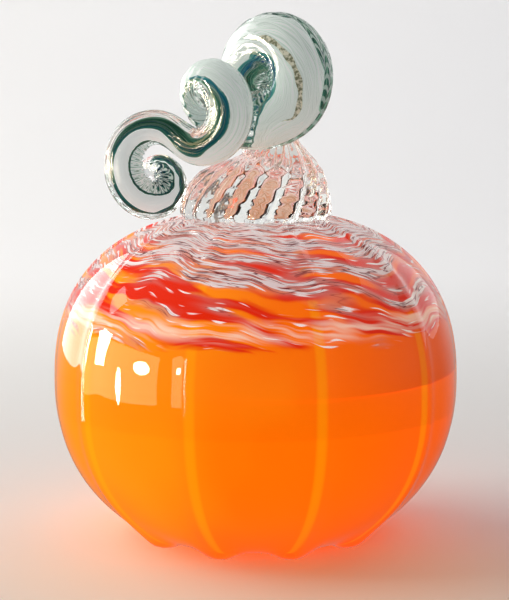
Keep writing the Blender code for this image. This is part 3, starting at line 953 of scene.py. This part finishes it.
def build_stage():
    """A pale paper sweep: floor, a wide bend and a back wall."""
    mesh_data = bmesh.new()
    profile = [(SWEEP_NEAR, 0.0), (SWEEP_BEND_START, 0.0)]
    for step in range(1, 16):
        bend = math.radians(step * 6)
        profile.append((SWEEP_BEND_START + SWEEP_BEND_RADIUS * math.sin(bend),
                        SWEEP_BEND_RADIUS * (1.0 - math.cos(bend))))
    profile.append((SWEEP_BEND_START + SWEEP_BEND_RADIUS, SWEEP_TOP))
    verts = [mesh_data.verts.new((-SWEEP_HALF_WIDTH, y, z)) for y, z in profile]
    edges = [mesh_data.edges.new(pair) for pair in zip(verts, verts[1:])]
    pulled = bmesh.ops.extrude_edge_only(mesh_data, edges=edges)["geom"]
    moved = [item for item in pulled if isinstance(item, bmesh.types.BMVert)]
    bmesh.ops.translate(mesh_data, vec=(2.0 * SWEEP_HALF_WIDTH, 0.0, 0.0), verts=moved)
    bmesh.ops.recalc_face_normals(mesh_data, faces=mesh_data.faces)
    mesh = bpy.data.meshes.new("paper_sweep")
    mesh_data.to_mesh(mesh)
    mesh_data.free()
    mesh.shade_smooth()
    material, tree = new_material("matt_paper")
    paper = add_node(tree, "ShaderNodeBsdfPrincipled", Base_Color=srgb("F0EEED"),
                     Roughness=0.85, Specular_IOR_Level=0.2)
    add_node(tree, "ShaderNodeOutputMaterial", Surface=paper.outputs[0])
    mesh.materials.append(material)
    sweep = bpy.data.objects.new("paper_sweep", mesh)
    sweep.visible_glossy = False
    bpy.context.scene.collection.objects.link(sweep)


def add_area_light(name, place, aim, size, radiance, shine_only=False, colour="FFFFFF",
                   shape="RECTANGLE"):
    """A soft light of the given brightness: one that lights, or one only mirrored in the glass."""
    lamp = bpy.data.lights.new(name, "AREA")
    lamp.shape = shape
    lamp.size, lamp.size_y = size
    lamp.energy = radiance * math.pi * size[0] * size[1]
    lamp.color = srgb(colour)[:3]
    holder = bpy.data.objects.new(name, lamp)
    holder.location = place
    direction = Vector(aim) - Vector(place)
    holder.rotation_euler = direction.to_track_quat("-Z", "Y").to_euler()
    holder.visible_diffuse = not shine_only
    holder.visible_glossy = shine_only
    bpy.context.scene.collection.objects.link(holder)
    return holder


# Bright shapes mirrored in the casing: degrees round from the front towards the left, height
# of the middle, width, height and shape
WINDOW_DISTANCE = 1.1
WINDOW_SHAPES = (
    ("frame_near", 44.0, 0.12, 0.016, 0.52, "RECTANGLE"),
    ("frame_next", 48.0, 0.16, 0.024, 0.34, "RECTANGLE"),
    ("arch", 65.0, 0.18, 0.20, 0.13, "ELLIPSE"),
    ("leaf", 80.0, 0.00, 0.07, 0.26, "ELLIPSE"),
    ("frame_far", 98.0, 0.08, 0.035, 0.66, "RECTANGLE"),
    ("pane_far", 95.0, 0.24, 0.12, 0.30, "RECTANGLE"),
    ("frame_last", 110.0, 0.08, 0.035, 0.66, "RECTANGLE"),
)
WINDOW_RADIANCE = 42.0


def add_window_reflections():
    for name, round_left, height, width, tall, shape in WINDOW_SHAPES:
        angle = math.radians(round_left)
        place = (-WINDOW_DISTANCE * math.sin(angle), -WINDOW_DISTANCE * math.cos(angle), height)
        add_area_light("window_" + name, place, (0, 0, 0.1), (width, tall), WINDOW_RADIANCE,
                       shine_only=True, colour="FFF3DC", shape=shape)
    add_area_light("window_glow", (-1.15, -0.30, 0.12), (0, 0, 0.1), (0.9, 0.5), 4.0,
                   shine_only=True, colour="FFE2A8")
    add_area_light("room_right", (1.15, 1.0, 0.85), (0, 0, 0.1), (1.5, 1.5), 0.7,
                   shine_only=True)
    add_area_light("room_left", (-1.2, 0.9, 0.5), (0, 0, 0.1), (1.3, 1.2), 3.2,
                   shine_only=True)


def add_floor_glow():
    """A warm lamp at the foot stands in for light that comes through the orange glass."""
    glow = add_area_light("light_through_glass", (0.006, -0.070, 0.05), (0.006, -0.071, 0.0),
                          (0.21, 0.16), 0.27, colour="FFB414", shape="ELLIPSE")
    glow.visible_camera = False
    glow.visible_transmission = False


def add_world():
    """A room that is dim on the viewer's side and light behind and above."""
    world = bpy.data.worlds.new("room")
    world.use_nodes = True
    tree = world.node_tree
    tree.nodes.clear()
    coords = add_node(tree, "ShaderNodeTexCoord")
    parts = add_node(tree, "ShaderNodeSeparateXYZ", _0=coords.outputs["Generated"])
    depth = add_node(tree, "ShaderNodeMapRange", SMOOTH,
                     Value=parts.outputs["Y"], From_Min=-0.9, From_Max=0.3, To_Min=0.10,
                     To_Max=0.29)
    above = add_node(tree, "ShaderNodeMapRange", SMOOTH,
                     Value=parts.outputs["Z"], From_Min=-0.3, From_Max=0.05, To_Min=0.5,
                     To_Max=1.0)
    rear = add_node(tree, "ShaderNodeMapRange", SMOOTH,
                    Value=parts.outputs["Y"], From_Min=0.6, From_Max=0.95, To_Min=0.0,
                    To_Max=0.46)
    total = add_node(tree, "ShaderNodeMath", {"operation": "ADD"}, _0=depth.outputs[0],
                     _1=rear.outputs[0])
    light = add_node(tree, "ShaderNodeMath", {"operation": "MULTIPLY"},
                     _0=total.outputs[0], _1=above.outputs[0])
    tone = add_node(tree, "ShaderNodeMix", {"data_type": "RGBA"}, Factor=above.outputs[0],
                    _6=srgb("E88A50"), _7=srgb("F4F2F2"))
    room = add_node(tree, "ShaderNodeBackground", Color=tone.outputs[2],
                    Strength=light.outputs[0])
    add_node(tree, "ShaderNodeOutputWorld", Surface=room.outputs[0])
    bpy.context.scene.world = world


def add_camera():
    camera = bpy.data.cameras.new("camera")
    camera.lens = CAMERA_LENS
    camera.sensor_width = 36.0
    camera.clip_start = 0.05
    holder = bpy.data.objects.new("camera", camera)
    holder.location = CAMERA_PLACE
    holder.rotation_euler = (math.radians(90.0 - CAMERA_DIP), 0.0, 0.0)
    bpy.context.scene.collection.objects.link(holder)
    bpy.context.scene.camera = holder


build_stage()
add_area_light("key_soft", (-1.02, 0.36, 0.84), (0, 0.05, 0.05), (1.2, 1.2), 2.7,
               colour="F8F6EC")
add_area_light("wall_wash", (0.15, 0.82, 0.95), (0.15, 1.08, 0.1), (1.8, 0.4), 2.8,
               colour="F4F8FF")
add_area_light("front_fill", (-0.2, -1.6, 0.9), (0, 0, 0.12), (1.0, 0.7), 1.0)
add_window_reflections()
add_floor_glow()
add_world()
add_camera()
bpy.context.scene.view_settings.view_transform = "Standard"
